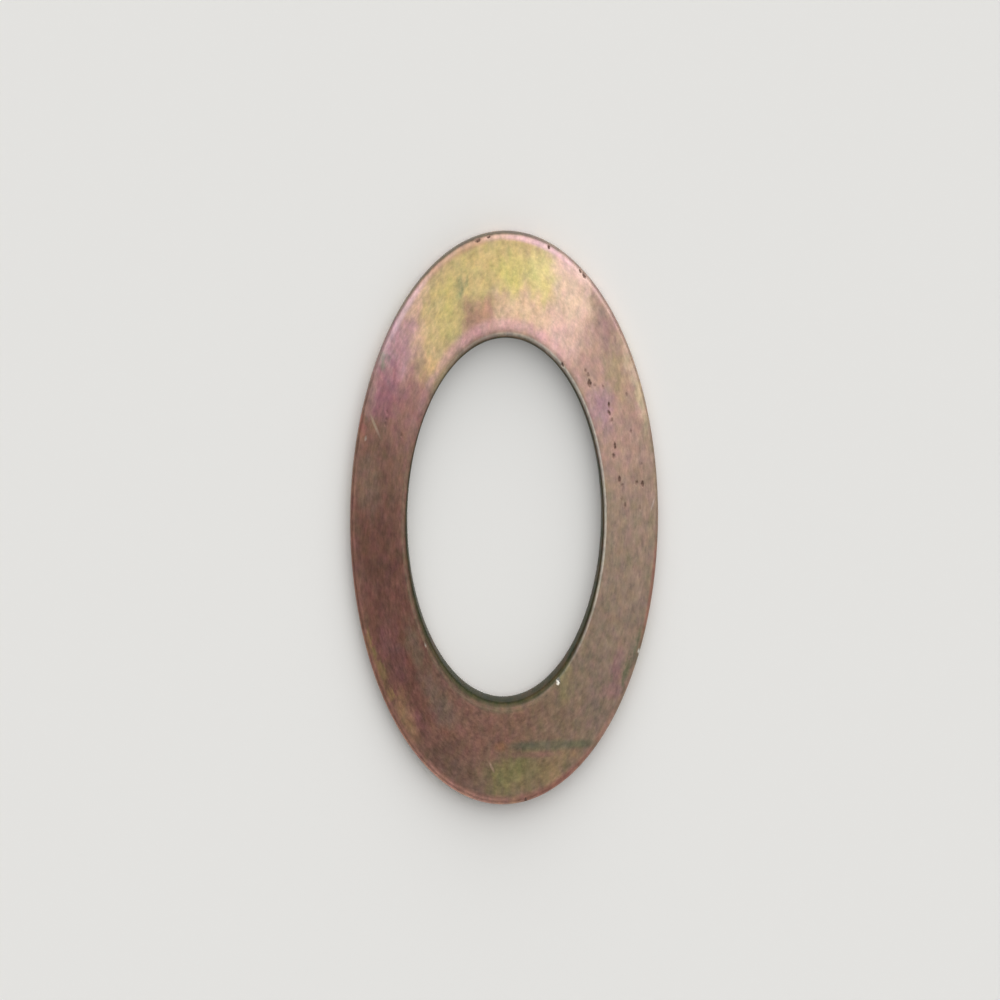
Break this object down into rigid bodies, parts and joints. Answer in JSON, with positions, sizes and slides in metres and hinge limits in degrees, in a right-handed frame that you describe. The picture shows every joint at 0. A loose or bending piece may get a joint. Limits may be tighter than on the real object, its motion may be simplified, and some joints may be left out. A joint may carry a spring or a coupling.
{
  "type": "belleville washer",
  "caption": "Dished steel disc spring: a heavy conical ring with a guided bore, a guided rim and a ground flat seat at each load edge.",
  "frame": {"origin": "centre of the lower seat, in the plane that the washer rests on", "axes": "+Z along the washer's own axis, from the outer load edge below to the inner load edge above; X and Y are alike"},
  "size_m": [0.127, 0.127, 0.0093],
  "materials": {
    "chromated_steel": "tumbled spring steel, zinc plated with an iridescent yellow chromate film, uneven and lightly worn"
  },
  "bodies": {
    "root": {"belleville_washer": "chromated_steel"}
  },
  "joints": []
}
